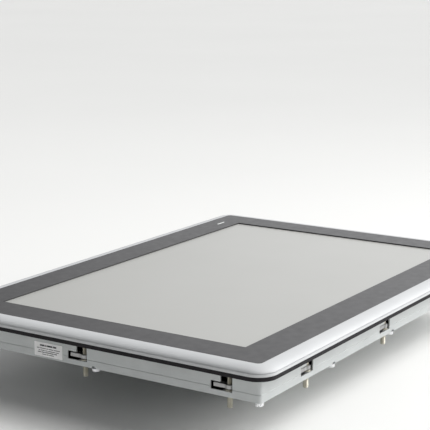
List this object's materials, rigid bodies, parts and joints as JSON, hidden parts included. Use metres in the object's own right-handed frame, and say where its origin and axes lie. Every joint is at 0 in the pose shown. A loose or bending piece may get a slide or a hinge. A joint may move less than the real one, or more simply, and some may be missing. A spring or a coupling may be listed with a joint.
{
  "type": "hmi touch panel",
  "caption": "Flat widescreen industrial touch panel: rounded light metal frame, dark border round a matt screen, black seal, slim metal housing with swivel clamps and a rear electronics box.",
  "frame": {"origin": "centre of the rear face of the electronics housing, under the middle of the front", "axes": "+Z the way the screen faces, +X along the long side, +Y towards the top edge, which carries the status light near its +X end"},
  "size_m": [0.41, 0.29, 0.062],
  "materials": {
    "frame_aluminium": "satin",
    "overlay_film": "satin",
    "touch_surface": "matt anti-glare",
    "seal_rubber": "matt",
    "housing_metal": "satin",
    "bright_zinc": "bright",
    "yellow_zinc": "satin",
    "lever_metal": "satin",
    "label_film": "matt",
    "lens_plastic": "clear",
    "board_laminate": "satin",
    "black_plastic": "matt",
    "terminal_green": "matt",
    "socket_metal": "satin",
    "heatsink_aluminium": "matt",
    "display_stack": "gloss",
    "cable_film": "satin",
    "foam": "matt"
  },
  "bodies": {
    "chassis": {"front_frame": "frame_aluminium", "border_overlay": "overlay_film", "touch_glass": "touch_surface", "status_lens": "lens_plastic", "led_board": "board_laminate", "panel_seal": "seal_rubber", "display_gasket": "foam", "lcd_bezel": "socket_metal", "lcd_back_plate": "socket_metal", "lcd_backlight": "lens_plastic", "lcd_cell": "display_stack", "display_brackets": "bright_zinc", "bracket_screws": "bright_zinc", "housing_wall": "housing_metal", "frame_screws": "bright_zinc", "rear_cover": "housing_metal", "cover_screws": "bright_zinc", "type_label": "label_film", "clamp_bearings": "bright_zinc", "electronics_housing": "housing_metal", "pod_screws": "bright_zinc", "main_board": "board_laminate", "board_standoffs": "bright_zinc", "board_screws": "bright_zinc", "processor": "black_plastic", "heatsink": "heatsink_aluminium", "power_socket": "terminal_green", "network_sockets": "socket_metal", "usb_sockets": "socket_metal", "serial_socket": "socket_metal", "earth_stud": "bright_zinc", "earth_nut": "bright_zinc", "card_slot": "socket_metal", "battery_holder": "black_plastic", "backup_battery": "bright_zinc", "backlight_driver": "board_laminate", "display_cable": "cable_film", "touch_cable": "cable_film"},
    "door": {"card_door": "black_plastic"},
    "button": {"reset_button": "black_plastic"},
    "screw_left_1": {"clamp_screw_left_1": "yellow_zinc"},
    "lever_left_1": {"clamp_lever_left_1": "lever_metal"},
    "screw_left_2": {"clamp_screw_left_2": "yellow_zinc"},
    "lever_left_2": {"clamp_lever_left_2": "lever_metal"},
    "screw_right_1": {"clamp_screw_right_1": "yellow_zinc"},
    "lever_right_1": {"clamp_lever_right_1": "lever_metal"},
    "screw_right_2": {"clamp_screw_right_2": "yellow_zinc"},
    "lever_right_2": {"clamp_lever_right_2": "lever_metal"},
    "screw_bottom_1": {"clamp_screw_bottom_1": "yellow_zinc"},
    "lever_bottom_1": {"clamp_lever_bottom_1": "lever_metal"},
    "screw_bottom_2": {"clamp_screw_bottom_2": "yellow_zinc"},
    "lever_bottom_2": {"clamp_lever_bottom_2": "lever_metal"},
    "screw_bottom_3": {"clamp_screw_bottom_3": "yellow_zinc"},
    "lever_bottom_3": {"clamp_lever_bottom_3": "lever_metal"},
    "screw_top_1": {"clamp_screw_top_1": "yellow_zinc"},
    "lever_top_1": {"clamp_lever_top_1": "lever_metal"},
    "screw_top_2": {"clamp_screw_top_2": "yellow_zinc"},
    "lever_top_2": {"clamp_lever_top_2": "lever_metal"},
    "screw_top_3": {"clamp_screw_top_3": "yellow_zinc"},
    "lever_top_3": {"clamp_lever_top_3": "lever_metal"}
  },
  "joints": [
    {"name": "clamp_left_1_swing", "type": "hinge", "parent": "chassis", "child": "screw_left_1", "pos_m": [-0.192, -0.11, 0.0423], "axis": [0, 0, 1], "range_deg": [0, 90]},
    {"name": "clamp_left_1_travel", "type": "slide", "parent": "screw_left_1", "child": "lever_left_1", "axis": [0, 0, 1], "range_m": [0, 0.0083]},
    {"name": "clamp_left_2_swing", "type": "hinge", "parent": "chassis", "child": "screw_left_2", "pos_m": [-0.192, 0.01, 0.0423], "axis": [0, 0, 1], "range_deg": [0, 90]},
    {"name": "clamp_left_2_travel", "type": "slide", "parent": "screw_left_2", "child": "lever_left_2", "axis": [0, 0, 1], "range_m": [0, 0.0083]},
    {"name": "clamp_right_1_swing", "type": "hinge", "parent": "chassis", "child": "screw_right_1", "pos_m": [0.192, 0.11, 0.0423], "axis": [0, 0, 1], "range_deg": [0, 90]},
    {"name": "clamp_right_1_travel", "type": "slide", "parent": "screw_right_1", "child": "lever_right_1", "axis": [0, 0, 1], "range_m": [0, 0.0083]},
    {"name": "clamp_right_2_swing", "type": "hinge", "parent": "chassis", "child": "screw_right_2", "pos_m": [0.192, -0.01, 0.0423], "axis": [0, 0, 1], "range_deg": [0, 90]},
    {"name": "clamp_right_2_travel", "type": "slide", "parent": "screw_right_2", "child": "lever_right_2", "axis": [0, 0, 1], "range_m": [0, 0.0083]},
    {"name": "clamp_bottom_1_swing", "type": "hinge", "parent": "chassis", "child": "screw_bottom_1", "pos_m": [-0.1295, -0.132, 0.0423], "axis": [0, 0, 1], "range_deg": [0, 90]},
    {"name": "clamp_bottom_1_travel", "type": "slide", "parent": "screw_bottom_1", "child": "lever_bottom_1", "axis": [0, 0, 1], "range_m": [0, 0.0083]},
    {"name": "clamp_bottom_2_swing", "type": "hinge", "parent": "chassis", "child": "screw_bottom_2", "pos_m": [-0.0095, -0.132, 0.0423], "axis": [0, 0, 1], "range_deg": [0, 90]},
    {"name": "clamp_bottom_2_travel", "type": "slide", "parent": "screw_bottom_2", "child": "lever_bottom_2", "axis": [0, 0, 1], "range_m": [0, 0.0083]},
    {"name": "clamp_bottom_3_swing", "type": "hinge", "parent": "chassis", "child": "screw_bottom_3", "pos_m": [0.1105, -0.132, 0.0423], "axis": [0, 0, 1], "range_deg": [0, 90]},
    {"name": "clamp_bottom_3_travel", "type": "slide", "parent": "screw_bottom_3", "child": "lever_bottom_3", "axis": [0, 0, 1], "range_m": [0, 0.0083]},
    {"name": "clamp_top_1_swing", "type": "hinge", "parent": "chassis", "child": "screw_top_1", "pos_m": [0.1295, 0.132, 0.0423], "axis": [0, 0, 1], "range_deg": [0, 90]},
    {"name": "clamp_top_1_travel", "type": "slide", "parent": "screw_top_1", "child": "lever_top_1", "axis": [0, 0, 1], "range_m": [0, 0.0083]},
    {"name": "clamp_top_2_swing", "type": "hinge", "parent": "chassis", "child": "screw_top_2", "pos_m": [0.0095, 0.132, 0.0423], "axis": [0, 0, 1], "range_deg": [0, 90]},
    {"name": "clamp_top_2_travel", "type": "slide", "parent": "screw_top_2", "child": "lever_top_2", "axis": [0, 0, 1], "range_m": [0, 0.0083]},
    {"name": "clamp_top_3_swing", "type": "hinge", "parent": "chassis", "child": "screw_top_3", "pos_m": [-0.1105, 0.132, 0.0423], "axis": [0, 0, 1], "range_deg": [0, 90]},
    {"name": "clamp_top_3_travel", "type": "slide", "parent": "screw_top_3", "child": "lever_top_3", "axis": [0, 0, 1], "range_m": [0, 0.0083]},
    {"name": "card_door_hinge", "type": "hinge", "parent": "chassis", "child": "door", "pos_m": [0.1073, -0.008, 0.0086], "axis": [0, 1, 0], "range_deg": [0, 100]},
    {"name": "reset_button_press", "type": "slide", "parent": "chassis", "child": "button", "axis": [0, 1, 0], "range_m": [0, 0.0008], "stiffness_N_per_m": 400}
  ]
}
